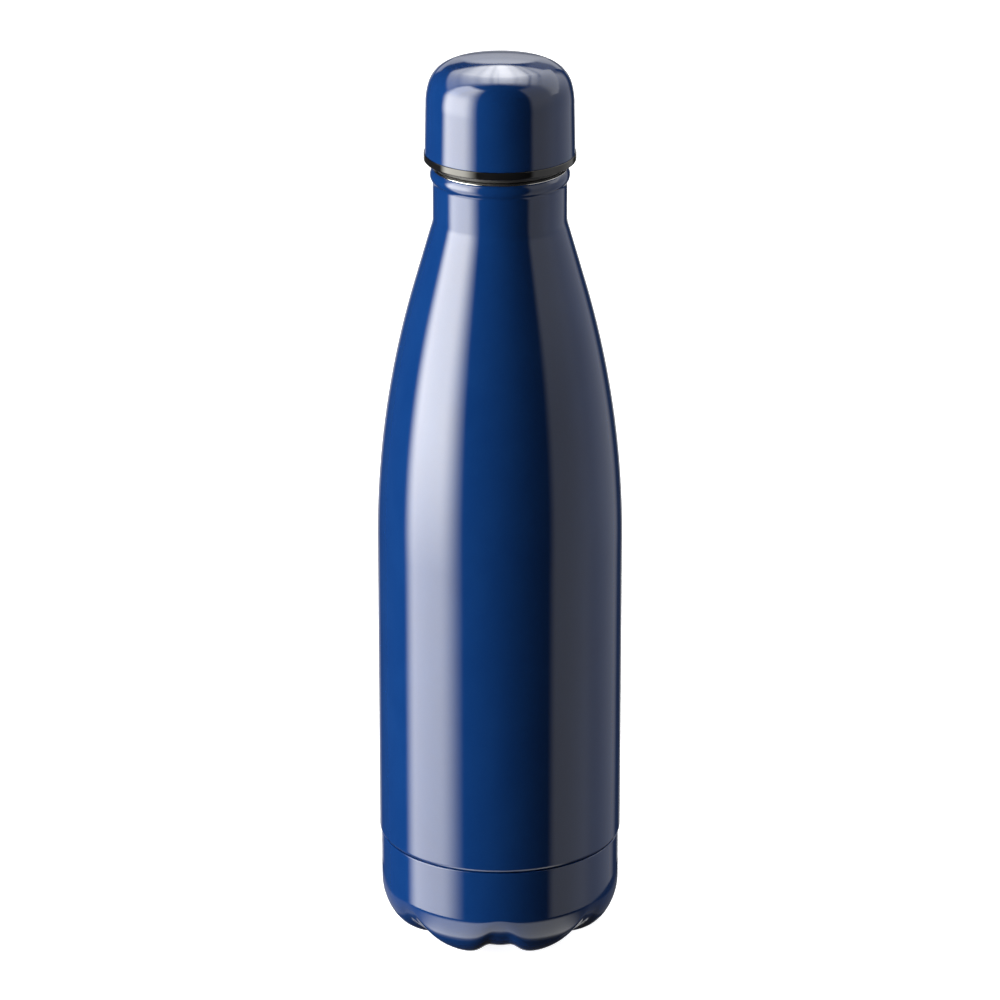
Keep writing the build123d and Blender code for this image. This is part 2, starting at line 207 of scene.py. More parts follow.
def rounded(*corners, steps=6):
    """Closed outline through (r, z, fillet) corners, anticlockwise."""
    count = len(corners)
    start = corners[0]
    nearby = corners[-1]
    outline = Outline((start[0] + nearby[0]) / 2, (start[1] + nearby[1]) / 2)
    for i, (r, z, fillet) in enumerate(corners):
        if not fillet:
            outline.line(r, z)
            continue
        here = Vector((r, z))
        back = (Vector(corners[i - 1][:2]) - here).normalized()
        ahead = (Vector(corners[(i + 1) % count][:2]) - here).normalized()
        half = back.angle(ahead) / 2
        centre = here + (back + ahead).normalized() * (fillet / math.sin(half))
        begin = here + back * (fillet / math.tan(half)) - centre
        finish = here + ahead * (fillet / math.tan(half)) - centre
        a0 = math.degrees(math.atan2(begin.y, begin.x))
        a1 = math.degrees(math.atan2(finish.y, finish.x))
        a1 = a0 + (a1 - a0 + 180) % 360 - 180
        outline.line(*(centre + begin))
        outline.arc(tuple(centre), fillet, a0, a1, steps)
    return outline.close()


class Skin:
    """Closed mesh built from rows of (point in mm, normal) pairs, with points that coincide joined."""

    def __init__(self):
        self.index, self.vertices, self.faces, self.normals = {}, [], [], []

    def vertex(self, point):
        key = tuple(round(value, 5) for value in point)
        if key not in self.index:
            self.index[key] = len(self.vertices)
            self.vertices.append(tuple(value * MM for value in point))
        return self.index[key]

    def face(self, *corners):
        """Face from corners in order, without the ones that fall together."""
        kept = {}
        for point, normal in corners:
            kept.setdefault(self.vertex(point), tuple(normal))
        if len(kept) > 2:
            self.faces.append(list(kept))
            self.normals.extend(kept.values())

    def strip(self, first, second):
        """Band between two rows round the axis, the outline running anticlockwise from first to second."""
        for j in range(COLUMNS):
            k = (j + 1) % COLUMNS
            self.face(first[j], first[k], second[k], second[j])

    def piece(self, name, smooth_by_angle=False):
        mesh = bpy.data.meshes.new(name)
        mesh.from_pydata(self.vertices, [], self.faces)
        mesh.polygons.foreach_set("use_smooth", [True] * len(mesh.polygons))
        if smooth_by_angle:
            mesh.set_sharp_from_angle(angle=math.radians(SHARP_ANGLE))
        else:
            mesh.normals_split_custom_set(self.normals)
        mesh.validate()
        mesh.update()
        made = bpy.data.objects.new(name, mesh)
        bpy.context.scene.collection.objects.link(made)
        return made


ANGLES = [2 * math.pi * j / COLUMNS for j in range(COLUMNS)]
CIRCLE = [(math.cos(a), math.sin(a)) for a in ANGLES]


def turned_row(r, z, normal_r, normal_z):
    return [((r * c, r * s, z), (normal_r * c, normal_r * s, normal_z)) for c, s in CIRCLE]


def lathe(name, outline, shape=None):
    """Turned mesh of a closed outline. shape(r, z, angle) moves points in and out, as a thread does."""
    skin = Skin()
    for span in outline.spans:
        rows = [turned_row(*place) for place in span]
        if shape:
            moved = []
            for row, (r, z, *_) in zip(rows, span):
                radii = [shape(r, z, a) for a in ANGLES]
                moved.append([((radius * c, radius * s, z), normal)
                              for (_, normal), radius, (c, s) in zip(row, radii, CIRCLE)])
            rows = moved
        for first, second in zip(rows, rows[1:]):
            skin.strip(first, second)
    return skin.piece(name, smooth_by_angle=bool(shape))


def flask_side(outline, radius, neck, blend, upwards, steps=90, blend_steps=12):
    """The long side of the body: shoulder arc, cone and blend to the neck, in either direction."""
    centre = (BODY_RADIUS - SHOULDER_ARC, SHOULDER_Z)
    arc_radius = SHOULDER_ARC - (BODY_RADIUS - radius)
    foot = Vector(on_arc(centre, arc_radius, SHOULDER_ANGLE))
    slope = math.tan(math.radians(SHOULDER_ANGLE))
    corner = Vector((neck, foot.y + (foot.x - neck) / slope))
    back = blend * math.tan(math.radians(SHOULDER_ANGLE / 2))
    blend_centre = (neck + blend, corner.y + back)
    if upwards:
        outline.arc(centre, arc_radius, 0, SHOULDER_ANGLE, steps)
        outline.arc(blend_centre, blend, 180 + SHOULDER_ANGLE, 180, blend_steps)
    else:
        outline.arc(blend_centre, blend, 180, 180 + SHOULDER_ANGLE, blend_steps)
        outline.arc(centre, arc_radius, SHOULDER_ANGLE, 0, steps)


LIP_CENTRE = (LIP_CENTRE_RADIUS, BEAD_Z)
ROLL_CENTRE = (BODY_RADIUS - EDGE_ROLL, SEAM_Z + EDGE_ROLL + SEAM_GAP)
LIP_TO_FILLET = BEAD_ARC + BEAD_FILLET
BEAD_LEAN = math.degrees(math.acos((NECK_RADIUS + BEAD_FILLET - LIP_CENTRE_RADIUS) / LIP_TO_FILLET))
FILLET_CENTRE = on_arc(LIP_CENTRE, LIP_TO_FILLET, -BEAD_LEAN)


def lip_angle(r, inset=0.0):
    """Angle above the horizontal at which the lip, at an inset from its outside, reaches a radius."""
    return math.degrees(math.acos((r - LIP_CENTRE_RADIUS) / (BEAD_ARC - inset)))


def roll_angle(r, inset=0.0):
    """Angle at which the rolled lower edge runs into the spigot's wall."""
    return -math.degrees(math.acos((r - ROLL_CENTRE[0]) / (EDGE_ROLL - inset)))


def make_shell():
    """Painted outer wall, from the spigot inside the base cup to the edge of the paint on the lip."""
    spigot_in = SPIGOT_RADIUS - SHEET
    outline = Outline(spigot_in, SPIGOT_BOTTOM_Z).line(SPIGOT_RADIUS, SPIGOT_BOTTOM_Z)
    outline.arc(ROLL_CENTRE, EDGE_ROLL, roll_angle(SPIGOT_RADIUS), 0, 16)
    outline.line(BODY_RADIUS, SHOULDER_Z, 24)
    flask_side(outline, BODY_RADIUS, NECK_RADIUS, NECK_BLEND, True)
    outline.arc(FILLET_CENTRE, BEAD_FILLET, 180, 180 - BEAD_LEAN, 8)
    outline.arc(LIP_CENTRE, BEAD_ARC, -BEAD_LEAN, PAINT_END, 24)
    outline.arc(LIP_CENTRE, BEAD_ARC - SHEET, PAINT_END, -BEAD_LEAN, 16)
    outline.arc(FILLET_CENTRE, BEAD_FILLET + SHEET, 180 - BEAD_LEAN, 180, 8)
    flask_side(outline, BODY_RADIUS - SHEET, NECK_RADIUS - SHEET, NECK_BLEND + SHEET, False)
    outline.arc(ROLL_CENTRE, EDGE_ROLL - SHEET, 0, roll_angle(spigot_in, SHEET), 8)
    return lathe("outer_shell_painted", outline.close())


def make_mouth_rim():
    """Bare steel of the lip: a round edge beside the paint, then over the top to the flask."""
    edge_at = PAINT_END + math.degrees(PAINT_EDGE / BEAD_ARC)
    edge_centre = on_arc(LIP_CENTRE, BEAD_ARC - PAINT_EDGE / 2, edge_at)
    outline = Outline(*on_arc(LIP_CENTRE, BEAD_ARC - SHEET, PAINT_END))
    outline.arc(edge_centre, PAINT_EDGE, *STEEL_EDGE, 10)
    outline.arc(LIP_CENTRE, BEAD_ARC, edge_at + EDGE_RUN, lip_angle(LINER_NECK_RADIUS), 12)
    outline.arc(LIP_CENTRE, BEAD_ARC - SHEET, lip_angle(LINER_NECK_RADIUS, SHEET), PAINT_END, 10)
    return lathe("mouth_rim", outline)


def ridge_height(z, angle, start_z, width):
    """0 to 1: height of a thread's ridge at a place, with run-in and run-out."""
    best = 0.0
    for turn in range(int(THREAD_TURNS) + 1):
        travelled = angle / (2 * math.pi) + turn
        if travelled > THREAD_TURNS:
            continue
        off = abs(z - (start_z + LEAD * travelled)) / (width / 2)
        if off < 1:
            flank = ramp(FLANK_SLOPE * (1 - off), 0, 1)
            fade = ramp(min(travelled, THREAD_TURNS - travelled), 0, RUN_OUT)
            best = max(best, flank * fade)
    return best


def make_flask():
    """Inner flask with the thread rolled into its neck."""
    bore = LINER_NECK_RADIUS - LINER_SHEET
    inside = LINER_RADIUS - LINER_SHEET
    top_z = on_arc(LIP_CENTRE, BEAD_ARC, lip_angle(LINER_NECK_RADIUS))[1]
    outline = Outline(inside, LINER_BOTTOM_Z).line(LINER_RADIUS, LINER_BOTTOM_Z)
    flask_side(outline, LINER_RADIUS, LINER_NECK_RADIUS, NECK_BLEND, True, 48)
    outline.line(LINER_NECK_RADIUS, top_z, 8)
    outline.line(bore + MOUTH_BREAK, top_z).line(bore, top_z - MOUTH_BREAK)
    outline.line(bore, NECK_THREAD_Z + LEAD * THREAD_TURNS + THREAD_MARGIN, 4)
    outline.line(bore, NECK_THREAD_Z - THREAD_MARGIN, THREAD_ROWS)
    flask_side(outline, inside, bore, NECK_BLEND, False, 48)

    def rolled(r, z, angle):
        if r > bore + TINY or z < NECK_THREAD_Z - NECK_RIDGE_WIDTH:
            return r
        return r - (bore - NECK_RIDGE_RADIUS) * ridge_height(z, angle, NECK_THREAD_Z, NECK_RIDGE_WIDTH)

    return lathe("flask_with_rolled_thread", outline.close(), rolled)


# ---------------------------------------------------------------- base cup
LOBE_CURVE = ((CUP_RADIUS, LOBE_TOP_Z), (CUP_RADIUS, 7.1), (25.0, 0.3), (FOOT_RADIUS, -FOOT_TRIM))
INSTEP_CURVE = ((FOOT_RADIUS, -FOOT_TRIM), (9.1, -FOOT_TRIM), (9.0, HUB_Z), (HUB_RADIUS, HUB_Z))
VALLEY_CURVE = ((CUP_RADIUS, LOBE_TOP_Z), (CUP_RADIUS, 15.3), (30.0, 0.66), (HUB_RADIUS, HUB_Z))
LOBE_SHARE = 0.58            # share of a lobe's outline that lies outside its foot
FIRST_LOBE = math.pi / LOBES - math.pi / 2      # so that a valley faces the front
CUP_ROWS = 84                # rows of points from hub to wall, half as many inside
NORMAL_STEP = 0.002


def bezier(t, controls):
    weights = ((1 - t) ** 3, 3 * t * (1 - t) ** 2, 3 * t * t * (1 - t), t ** 3)
    return [sum(w * c[axis] for w, c in zip(weights, controls)) for axis in (0, 1)]


def valley_share(r, angle):
    """How much of the valley's outline is in the surface: 0 on a lobe's middle, 1 on a valley's middle."""
    reach = 2 * r / LOBES / VALLEY_WIDTH
    across = math.cos(LOBES * (angle - FIRST_LOBE) / 2)
    least = math.exp(-reach ** 2)
    return (math.exp(-(reach * across) ** 2) - least) / (1 - least)


def cup_point(share, angle):
    """Outside of the lobed bottom, from the wall (share 0) to the hub (share 1)."""
    if share < LOBE_SHARE:
        lobe = bezier(share / LOBE_SHARE, LOBE_CURVE)
    else:
        lobe = bezier((share - LOBE_SHARE) / (1 - LOBE_SHARE), INSTEP_CURVE)
    valley = bezier(share, VALLEY_CURVE)
    blend = valley_share(lobe[0], angle)
    r, z = (a + (b - a) * blend for a, b in zip(lobe, valley))
    return Vector((r * math.cos(angle), r * math.sin(angle), z))


def cup_normal(share, angle):
    """Outward normal of the lobed bottom: level at the wall, straight down at the hub."""
    if share <= 0:
        return Vector((math.cos(angle), math.sin(angle), 0))
    if share >= 1:
        return Vector((0, 0, -1))
    nearer, farther = max(0, share - NORMAL_STEP), min(1, share + NORMAL_STEP)
    inwards = cup_point(farther, angle) - cup_point(nearer, angle)
    across = cup_point(share, angle + NORMAL_STEP) - cup_point(share, angle - NORMAL_STEP)
    return inwards.cross(across).normalized()


def lobed_row(share, inset=0.0):
    """Row of the lobed bottom, outside with its feet cut flat, or inside when moved in by the sheet."""
    row = []
    for a in ANGLES:
        point, normal = cup_point(share, a), cup_normal(share, a)
        if inset:
            row.append((point - normal * inset, -normal))
        else:
            row.append(((point.x, point.y, max(0.0, point.z)), normal))
    return row


def make_base_cup():
    """Lobed cup as one closed sheet: hub, lobes and wall outside, the broken rim, then the same inside."""
    inside = CUP_RADIUS - SHEET
    rim_centre = (CUP_RADIUS - RIM_BREAK, SEAM_Z - RIM_BREAK)
    skin = Skin()

    def strips(rows):
        for first, second in zip(rows, rows[1:]):
            skin.strip(first, second)

    under = [lobed_row(1 - i / CUP_ROWS) for i in range(CUP_ROWS + 1)]
    strips([turned_row(0, HUB_Z, 0, -1)] + under)
    wall = Outline(CUP_RADIUS, LOBE_TOP_Z).line(CUP_RADIUS, rim_centre[1], 8)
    wall.arc(rim_centre, RIM_BREAK, 0, 90, 5)
    wall.line(inside, SEAM_Z).line(inside, LOBE_TOP_Z, 8)
    for span in wall.spans:
        strips([turned_row(*place) for place in span])
    top = [lobed_row(2 * i / CUP_ROWS, SHEET) for i in range(CUP_ROWS // 2 + 1)]
    strips(top + [turned_row(0, HUB_Z + SHEET, 0, 1)])
    return skin.piece("base_cup_painted")


# ---------------------------------------------------------------- cap
CROWN = (0.0, TOTAL_HEIGHT - CROWN_ARC)          # centres of the dome's three arcs
CAP_CORNER = on_arc(CROWN, CROWN_ARC - CAP_CORNER_ARC, 90 - CROWN_ANGLE)
CAP_SIDE = on_arc(CAP_CORNER, CAP_SIDE_ARC - CAP_CORNER_ARC, 270 - CAP_CORNER_ANGLE)


def dome_side(outline, inset, upwards):
    """The dome's side, corner and crown arcs, in either direction."""
    arcs = [(CAP_SIDE, CAP_SIDE_ARC - inset, CAP_DRAFT, 90 - CAP_CORNER_ANGLE, 24),
            (CAP_CORNER, CAP_CORNER_ARC - inset, 90 - CAP_CORNER_ANGLE, 90 - CROWN_ANGLE, 40),
            (CROWN, CROWN_ARC - inset, 90 - CROWN_ANGLE, 90, 20)]
    if not upwards:
        arcs = [(c, radius, end, start, steps) for c, radius, start, end, steps in reversed(arcs)]
    for args in arcs:
        outline.arc(*args)


def dome_wall(z, inset):
    """Radius of the drafted wall at a height."""
    top = on_arc(CAP_SIDE, CAP_SIDE_ARC - inset, CAP_DRAFT)
    return top[0] + math.tan(math.radians(CAP_DRAFT)) * (top[1] - z)


def make_dome():
    """Painted steel dome with a broken lower edge."""
    outline = Outline(dome_wall(CAP_EDGE_Z, SHEET), CAP_EDGE_Z)
    edge_centre = (dome_wall(CAP_EDGE_Z, 0) - DOME_BREAK, CAP_EDGE_Z + DOME_BREAK)
    outline.arc(edge_centre, DOME_BREAK, -90, 0, 5)
    dome_side(outline, 0, True)
    outline.line(0, TOTAL_HEIGHT - SHEET)
    dome_side(outline, SHEET, False)
    return lathe("cap_dome_painted", outline.close())


def make_ring():
    """Black liner of the cap: the visible ring, its recess for the gasket and its inner wall."""
    hole = STEM_RADIUS + HOLE_PLAY
    wall_in, wall_out = LINER_WALL
    return lathe("cap_ring_and_liner", rounded(
        (hole, LINER_PLATE_Z, HOLE_BREAK), (RECESS_RADIUS, LINER_PLATE_Z, 0),
        (RECESS_RADIUS, RING_BOTTOM_Z, RING_BREAK), (RING_RADIUS, RING_BOTTOM_Z, RING_ROUND),
        (RING_RADIUS, CAP_EDGE_Z, RING_BREAK), (wall_out, CAP_EDGE_Z, 0),
        (wall_out, LINER_WALL_TOP_Z, WALL_BREAK), (wall_in, LINER_WALL_TOP_Z, WALL_BREAK),
        (wall_in, CAP_EDGE_Z, 0), (hole, CAP_EDGE_Z, HOLE_BREAK)))


def make_stopper():
    """Threaded stem and its flange."""
    inner = STEM_RADIUS - STOPPER_WALL
    top = CAP_EDGE_Z + STOPPER_FLANGE[1]
    low = NECK_THREAD_Z - THREAD_STEP
    outline = Outline(inner, STOPPER_BOTTOM_Z).line(STEM_RADIUS - STOPPER_CHAMFER, STOPPER_BOTTOM_Z)
    outline.line(STEM_RADIUS, STOPPER_BOTTOM_Z + STOPPER_CHAMFER).line(STEM_RADIUS, low - THREAD_MARGIN, 3)
    outline.line(STEM_RADIUS, low + LEAD * THREAD_TURNS + THREAD_MARGIN, THREAD_ROWS)
    outline.line(STEM_RADIUS, CAP_EDGE_Z, 4)
    outline.line(STOPPER_FLANGE[0], CAP_EDGE_Z).line(STOPPER_FLANGE[0], top).line(inner, top)

    def threaded(r, z, angle):
        if abs(r - STEM_RADIUS) > TINY or z > CAP_EDGE_Z - STEM_RIDGE_WIDTH:
            return r
        return r + (STEM_RIDGE_RADIUS - STEM_RADIUS) * ridge_height(z, angle, low, STEM_RIDGE_WIDTH)

    return lathe("stopper_with_thread", outline.close(), threaded)


def make_cover():
    """Disc that closes the stopper's lower end, its edge well rounded."""
    plug = STEM_RADIUS - STOPPER_WALL
    outline = Outline(0, COVER_BOTTOM_Z)
    outline.line(STEM_RADIUS - COVER_ROUND, COVER_BOTTOM_Z, 8)
    outline.arc((STEM_RADIUS - COVER_ROUND, COVER_BOTTOM_Z + COVER_ROUND), COVER_ROUND, -90, 0, 8)
    outline.line(STEM_RADIUS, STOPPER_BOTTOM_Z).line(plug, STOPPER_BOTTOM_Z).line(plug, COVER_TOP_Z)
    outline.line(0, COVER_TOP_Z)
    return lathe("stopper_end_cover", outline)


def make_gasket():
    """Soft ring with rounded edges where it meets the lip."""
    inner, outer = GASKET_RADII
    low, high = GASKET_Z
    return lathe("gasket_ring", rounded(
        (inner, low, GASKET_ROUND), (outer, low, GASKET_ROUND),
        (outer, high, GASKET_BREAK), (inner, high, GASKET_BREAK), steps=8))


# ---------------------------------------------------------------- materials
class Nodes:
    """Small helper that adds and links shader nodes."""

    def __init__(self, name):
        self.material = bpy.data.materials.new(name)
        self.material.use_nodes = True
        self.tree = self.material.node_tree
        self.tree.nodes.clear()
        self.output = self.add("ShaderNodeOutputMaterial")

    def add(self, kind, inputs=None, **settings):
        node = self.tree.nodes.new(kind)
        for key, value in settings.items():
            setattr(node, key, value)
        for key, value in (inputs or {}).items():
            if isinstance(value, bpy.types.NodeSocket):
                self.tree.links.new(value, node.inputs[key])
            else:
                node.inputs[key].default_value = value
        return node

    def coords(self, scale):
        """Object coordinates in metres times a scale for each axis."""
        place = self.add("ShaderNodeTexCoord").outputs["Object"]
        return self.add("ShaderNodeMapping", {"Vector": place, "Scale": scale}).outputs["Vector"]

    def noise(self, vector, detail=3.0, roughness=0.55):
        return self.add("ShaderNodeTexNoise", {"Vector": vector, "Scale": 1.0, "Detail": detail,
                                               "Roughness": roughness}).outputs["Fac"]

    def cells(self, vector):
        return self.add("ShaderNodeTexVoronoi", {"Vector": vector, "Scale": 1.0}).outputs["Distance"]

    def remap(self, value, low, high, start=0.3, end=0.7):
        return self.add("ShaderNodeMapRange", {"Value": value, "From Min": start, "From Max": end,
                                               "To Min": low, "To Max": high}).outputs["Result"]

    def blend(self, factor, first, second):
        node = self.add("ShaderNodeMix", data_type="RGBA")
        for socket, value in ((node.inputs[0], factor), (node.inputs[6], first), (node.inputs[7], second)):
            if isinstance(value, bpy.types.NodeSocket):
                self.tree.links.new(value, socket)
            else:
                socket.default_value = value
        return node.outputs[2]

    def maths(self, operation, first, second):
        return self.add("ShaderNodeMath", {0: first, 1: second}, operation=operation).outputs[0]

    def bump(self, height, distance, strength, normal=None):
        inputs = {"Height": height, "Distance": distance, "Strength": strength}
        if normal:
            inputs["Normal"] = normal
        return self.add("ShaderNodeBump", inputs).outputs["Normal"]

    def finish(self, colour, roughness, normal, **constants):
        shader = self.add("ShaderNodeBsdfPrincipled", {"Base Color": colour, "Roughness": roughness})
        self.tree.links.new(normal, shader.inputs["Normal"])
        for key, value in constants.items():
            shader.inputs[key].default_value = value
        self.tree.links.new(shader.outputs["BSDF"], self.output.inputs["Surface"])
        return self.material


def rgba(r, g, b):
    return (r, g, b, 1.0)


def paint():
    """Glossy navy enamel over turned sheet: faint level grain, orange peel and pigment mottle."""
    n = Nodes("navy_enamel")
    grain = n.noise(n.coords((30, 30, 2600)), 4.0, 0.6)
    peel = n.noise(n.coords((420, 420, 420)), 2.0)
    mottle = n.noise(n.coords((90, 90, 60)), 4.0)
    flecks = n.noise(n.coords((5200, 5200, 5200)), 1.0)
    deep = n.blend(n.remap(mottle, 0, 1), rgba(0.0030, 0.033, 0.150), rgba(0.0044, 0.039, 0.166))
    colour = n.blend(n.remap(flecks, 0, 0.35, 0.5, 0.75), deep, rgba(0.008, 0.055, 0.20))
    rough = n.maths("ADD", n.remap(grain, 0.045, 0.085), n.remap(mottle, -0.01, 0.01))
    normal = n.bump(grain, 0.00001, 0.08)
    normal = n.bump(peel, 0.00001, 0.10, normal)
    return n.finish(colour, rough, normal, IOR=1.5)


def steel(name, colour, scale, rough, strength=0.35):
    """Turned or drawn bare steel with tool lines round the axis."""
    n = Nodes(name)
    lines = n.noise(n.coords(scale), 5.0, 0.65)
    patches = n.noise(n.coords((70, 70, 50)), 3.0)
    dark = tuple(c * 0.82 for c in colour)
    shade = n.blend(n.remap(patches, 0, 1), rgba(*colour), rgba(*dark))
    value = n.maths("ADD", n.remap(lines, rough - 0.08, rough + 0.08), n.remap(patches, -0.03, 0.03))
    return n.finish(shade, value, n.bump(lines, 0.00003, strength), Metallic=1.0)


def plastic(name, colour, light, rough, spread, texture, relief=0.15):
    """Moulded plastic: fine spark-eroded texture and slight sheen differences."""
    n = Nodes(name)
    grain = n.noise(n.coords((texture,) * 3), 3.0)
    clouds = n.noise(n.coords((120, 120, 120)), 3.0)
    shade = n.blend(n.remap(clouds, 0, 1), rgba(*colour), rgba(*light))
    value = n.maths("ADD", n.remap(grain, rough - spread, rough + spread), n.remap(clouds, -spread, spread))
    return n.finish(shade, value, n.bump(grain, 0.00003, relief), IOR=1.49)


def foam():
    n = Nodes("white_foam")
    beads = n.cells(n.coords((900, 900, 900)))
    shade = n.blend(n.remap(beads, 0, 1, 0.1, 0.8), rgba(0.86, 0.86, 0.82), rgba(0.70, 0.70, 0.66))
    return n.finish(shade, n.remap(beads, 0.8, 0.95, 0.1, 0.8), n.bump(beads, 0.0002, 0.5))


def glue():
    n = Nodes("cured_adhesive")
    lumps = n.noise(n.coords((500, 500, 500)), 3.0)
    shade = n.blend(n.remap(lumps, 0, 1), rgba(0.74, 0.71, 0.60), rgba(0.62, 0.58, 0.46))
    return n.finish(shade, n.remap(lumps, 0.35, 0.6), n.bump(lumps, 0.0001, 0.4))


def foil():
    n = Nodes("copper_foil")
    creases = n.noise(n.coords((160, 160, 90)), 6.0, 0.6)
    shade = n.blend(n.remap(creases, 0, 1), rgba(0.78, 0.44, 0.28), rgba(0.62, 0.32, 0.19))
    return n.finish(shade, n.remap(creases, 0.18, 0.38), n.bump(creases, 0.0002, 0.5), Metallic=1.0)


def pellet():
    n = Nodes("sintered_getter")
    grains = n.cells(n.coords((6000, 6000, 6000)))
    shade = n.blend(n.remap(grains, 0, 1, 0.1, 0.8), rgba(0.10, 0.10, 0.11), rgba(0.20, 0.20, 0.21))
    return n.finish(shade, n.remap(grains, 0.6, 0.85, 0.1, 0.8), n.bump(grains, 0.00005, 0.6), Metallic=0.6)


def solder_glass():
    n = Nodes("solder_glass")
    cloud = n.noise(n.coords((900, 900, 900)), 3.0)
    shade = n.blend(n.remap(cloud, 0, 1), rgba(0.16, 0.19, 0.17), rgba(0.26, 0.29, 0.26))
    return n.finish(shade, n.remap(cloud, 0.12, 0.3), n.bump(cloud, 0.00005, 0.3), IOR=1.6)


PAINT = paint()
LIP_STEEL = steel("lip_steel", (0.70, 0.70, 0.69), (40, 40, 6000), 0.15)
FLASK_STEEL = steel("flask_steel", (0.56, 0.56, 0.54), (25, 25, 3000), 0.34, 0.5)
PLATE_STEEL = steel("plate_steel", (0.56, 0.56, 0.54), (2600, 30, 30), 0.36, 0.4)
GLOSS_BLACK = plastic("gloss_black", (0.006, 0.006, 0.0065), (0.010, 0.010, 0.0105), 0.05, 0.01, 2500, 0.03)
SATIN_BLACK = plastic("satin_black", (0.012, 0.012, 0.0125), (0.020, 0.020, 0.021), 0.34, 0.06, 3500)
# dark silicone: partly the gasket's own colour, partly painted shade, dark so that the gap under the cap's
# ring reads as shadow
SILICONE_AND_GAP_SHADE = plastic("silicone", (0.016, 0.016, 0.017), (0.024, 0.024, 0.025), 0.55, 0.06, 4500)


# ---------------------------------------------------------------- pieces and carried-over nodes
def place(piece, body, slot, material, *nodes):
    piece.data.materials.append(material)
    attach(piece, body)
    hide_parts(*nodes)


place(make_shell(), "bottle", "painted_steel", PAINT, "outer_shell")
place(make_mouth_rim(), "bottle", "bare_steel", LIP_STEEL, "outer_shell")
place(make_flask(), "bottle", "bare_steel", FLASK_STEEL, "inner_liner")
place(make_base_cup(), "bottle", "painted_steel", PAINT, "base_cup")
place(make_dome(), "cap", "painted_steel", PAINT, "cap_shell")
place(make_ring(), "cap", "black_plastic", GLOSS_BLACK, "cap_liner")
place(make_stopper(), "cap", "dark_plastic", SATIN_BLACK, "threaded_stopper")
place(make_cover(), "cap", "dark_plastic", SATIN_BLACK, "stopper_cover")
place(make_gasket(), "seal", "silicone", SILICONE_AND_GAP_SHADE, "gasket")

GLUE = glue()
for node, material in (
        ("inner_bottom", PLATE_STEEL), ("outer_bottom", PLATE_STEEL), ("getter_holder", PLATE_STEEL),
        ("reflective_foil", foil()), ("getter_pill", pellet()), ("vacuum_seal", solder_glass()),
        ("base_adhesive", GLUE), ("cap_adhesive", GLUE), ("stopper_foam", foam())):
    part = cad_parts[node]
    part.data.materials.clear()
    part.data.materials.append(material)

# ---------------------------------------------------------------- studio
CENTRE = Vector(((CAD_BOUNDS[0][0] + CAD_BOUNDS[1][0]) / 2, (CAD_BOUNDS[0][1] + CAD_BOUNDS[1][1]) / 2,
                 (CAD_BOUNDS[0][2] + CAD_BOUNDS[1][2]) / 2))


def direction(azimuth, elevation):
    """Unit vector: azimuth 0 faces the front (-Y) and 90 is +X, degrees."""
    a, e = math.radians(azimuth), math.radians(elevation)
    return Vector((math.sin(a) * math.cos(e), -math.cos(a) * math.cos(e), math.sin(e)))


def glow(name, tint):
    """Emission whose strength is read from the mesh's own level attribute."""
    material = bpy.data.materials.new(name)
    material.use_nodes = True
    tree = material.node_tree
    tree.nodes.clear()
    read = tree.nodes.new("ShaderNodeAttribute")
    read.attribute_name = "level"
    light = tree.nodes.new("ShaderNodeEmission")
    light.inputs["Color"].default_value = rgba(*tint)
    out = tree.nodes.new("ShaderNodeOutputMaterial")
    tree.links.new(read.outputs["Fac"], light.inputs["Strength"])
    tree.links.new(light.outputs["Emission"], out.inputs["Surface"])
    return material


SKY_RADIUS = 8.0             # metres, far enough that every piece reflects the same directions
SCRIM_RADIUS = 0.98 * SKY_RADIUS
ROOM_RADIUS = 1.1 * SKY_RADIUS
SOFTBOX_TINT = (1.0, 0.97, 0.88)
ROOM_LEVEL = 0.035           # what the gloss shows where nothing is lit


def sky(azimuth, elevation):
    return CENTRE + direction(azimuth, elevation) * SKY_RADIUS


def screen(name, place_at, level_at, across, up, steps, tint=(1, 1, 1)):
    """Curved reflector: a grid of points with a brightness at each, seen only in glossy reflections."""
    cols, rows = steps
    vertices, levels = [], []
    for j in range(rows + 1):
        v = up[0] + (up[1] - up[0]) * j / rows
        for i in range(cols + 1):
            u = across[0] + (across[1] - across[0]) * i / cols
            vertices.append(tuple(place_at(u, v)))
            levels.append(max(ROOM_LEVEL, level_at(u, v)))
    faces = []
    for j in range(rows):
        for i in range(cols):
            low, high = j * (cols + 1) + i, (j + 1) * (cols + 1) + i
            faces.append((low, low + 1, high + 1, high))
    mesh = bpy.data.meshes.new(name)
    mesh.from_pydata(vertices, [], faces)
    mesh.attributes.new("level", "FLOAT", "POINT").data.foreach_set("value", levels)
    mesh.materials.append(glow(name, tint))
    panel = bpy.data.objects.new(name, mesh)
    bpy.context.scene.collection.objects.link(panel)
    panel.visible_camera = panel.visible_diffuse = panel.visible_shadow = False


# Each level below is the brightness of one reflector in a direction, in degrees.
def softbox_level(azimuth, elevation):
    """Tall softbox on the left, brightest at the height of the bottle."""
    sides = ramp(azimuth, -103, -87) * ramp(azimuth, -32, -60) * ramp(azimuth, -33, -37)
    height = ramp(elevation, 66, 56) * ramp(elevation, -60, -45)
    body = 6.0 + 9.5 * ramp(elevation, -32, -2) - 5.5 * ramp(elevation, 8, 36)
    return body * sides * height


def card_level(azimuth, elevation):
    """White card on the right: even low down, brighter above the horizon and towards the back."""
    high = ramp(elevation, -4, 14)
    sides = ramp(azimuth, 45, 55) * ramp(azimuth, 150 + 10 * high, 136 + 10 * high)
    height = ramp(elevation, 66, 56) * ramp(elevation, -60, -50)
    drop = 0.12 * ramp(azimuth, 85, 100) + 0.25 * ramp(elevation, -14, -28) * ramp(azimuth, 85, 110)
    rise = 0.25 * high + 1.2 * ramp(elevation, 8, 40) * ramp(azimuth, 85, 112)
    return (0.80 - drop + rise) * sides * height


